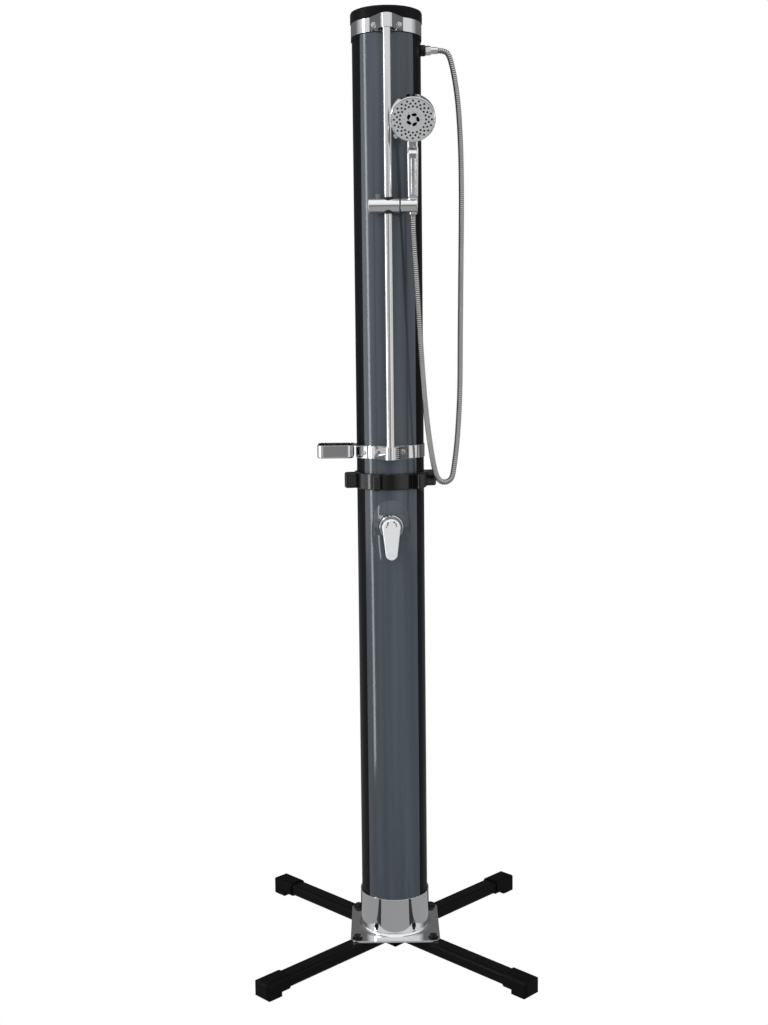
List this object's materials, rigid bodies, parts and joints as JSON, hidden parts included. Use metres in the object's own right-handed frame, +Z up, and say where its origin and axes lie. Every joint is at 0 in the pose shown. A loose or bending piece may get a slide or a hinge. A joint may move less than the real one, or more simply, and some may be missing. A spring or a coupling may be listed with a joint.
{
  "type": "outdoor shower post",
  "caption": "Free-standing outdoor shower post: round twin-tank column on crossed legs, with lever mixer, rail, sliding holder, hand shower on a ribbed hose and soap dish.",
  "frame": {"origin": "floor under the middle of the column, at the bottom centre of the legs' footprint", "axes": "+Z up along the column; the lever and the rail face -Y; +X to the right in the picture, where the water outlet is"},
  "size_m": [0.6184, 0.6184, 2.1555],
  "materials": {
    "tank_black": "satin",
    "cover_grey": "gloss",
    "chrome": "polished",
    "satin_chrome": "satin",
    "hose_steel": "ribbed",
    "leg_black": "satin",
    "foot_black": "matte",
    "union_black": "satin",
    "face_grey": "satin",
    "nozzle_black": "matte",
    "button_grey": "gloss",
    "bush_black": "satin",
    "bolt_black": "satin",
    "screw_steel": "satin",
    "seal_black": "matte",
    "pipe_white": "satin",
    "brass": "satin",
    "ring_dark": "polished",
    "spring_steel": "satin"
  },
  "bodies": {
    "post": {"leg_bar_a": "leg_black", "leg_bar_b": "leg_black", "cross_plate": "leg_black", "foot_cap_front_left": "foot_black", "foot_cap_front_right": "foot_black", "foot_cap_rear_left": "foot_black", "foot_cap_rear_right": "foot_black", "base_flange": "chrome", "base_bolts": "bolt_black", "base_washers": "bolt_black", "base_nuts": "screw_steel", "sleeve_screws": "screw_steel", "lower_tank": "tank_black", "lower_tank_plug": "tank_black", "upper_tank": "tank_black", "upper_cover": "cover_grey", "lower_cover": "cover_grey", "union_seal": "seal_black", "top_cap": "tank_black", "upper_bracket": "chrome", "lower_bracket": "chrome", "bracket_screws": "screw_steel", "rail": "chrome", "rail_plugs": "tank_black", "soap_dish": "chrome", "dish_screw": "screw_steel", "outlet_nipple": "brass", "outlet_bush": "seal_black", "outlet_lock_nut": "brass", "outlet_hose_nut": "satin_chrome", "outlet_ferrule": "satin_chrome", "shower_hose": "hose_steel", "mixer_body": "brass", "mixer_cartridge": "pipe_white", "mixer_nut": "brass", "mixer_escutcheon": "ring_dark", "cold_pipe": "pipe_white", "hot_pipe": "pipe_white", "riser_lower": "pipe_white", "riser_upper": "pipe_white", "riser_coupling": "pipe_white", "inlet_fitting": "brass", "inlet_lock_nut": "brass", "drain_plug": "tank_black"},
    "union": {"union_ring": "union_black"},
    "mixer_stem": {"mixer_carrier": "satin_chrome"},
    "lever": {"mixer_lever": "satin_chrome"},
    "bush": {"slider_bush": "bush_black"},
    "slider": {"slider_body": "chrome", "button_spring": "spring_steel"},
    "button": {"release_button": "button_grey"},
    "holder": {"holder": "chrome"},
    "handset": {"handset_shell": "chrome", "handset_face": "face_grey", "handset_nozzles": "nozzle_black", "handset_hose_nut": "chrome", "handset_ferrule": "chrome"},
    "selector": {"handset_selector": "chrome"}
  },
  "joints": [
    {"name": "union_turn", "type": "hinge", "parent": "post", "child": "union", "pos_m": [0, 0, 1.106], "axis": [0, 0, 1], "range_deg": [0, 120]},
    {"name": "slider_slide", "type": "slide", "parent": "post", "child": "bush", "axis": [0, 0, 1], "range_m": [-0.48, 0.34], "deforming": ["shower_hose"]},
    {"name": "slider_swivel", "type": "hinge", "parent": "bush", "child": "slider", "pos_m": [0, -0.105, 1.7188], "axis": [0, 0, 1], "range_deg": [-25, 24], "deforming": ["shower_hose"]},
    {"name": "holder_tilt", "type": "hinge", "parent": "slider", "child": "holder", "pos_m": [0.023, -0.105, 1.7188], "axis": [1, 0, 0], "range_deg": [-5, 35], "deforming": ["shower_hose"]},
    {"name": "handset_lift", "type": "slide", "parent": "holder", "child": "handset", "axis": [0, -0.2079, 0.9781], "range_m": [0, 0.06], "deforming": ["shower_hose"]},
    {"name": "spray_selector", "type": "hinge", "parent": "handset", "child": "selector", "pos_m": [0.0543, -0.16467, 1.89372], "axis": [0, -0.8988, -0.4384], "range_deg": [-40, 25]},
    {"name": "button_press", "type": "slide", "parent": "slider", "child": "button", "axis": [0, 0, -1], "range_m": [0, 0.004], "stiffness_N_per_m": 500, "springref_m": -0.004, "deforming": ["button_spring"]},
    {"name": "mixer_turn", "type": "hinge", "parent": "post", "child": "mixer_stem", "pos_m": [0, -0.085, 1.0043], "axis": [0, 1, 0], "range_deg": [-45, 45]},
    {"name": "lever_lift", "type": "hinge", "parent": "mixer_stem", "child": "lever", "pos_m": [0, -0.093, 1.0043], "axis": [-1, 0, 0], "range_deg": [0, 18]}
  ]
}
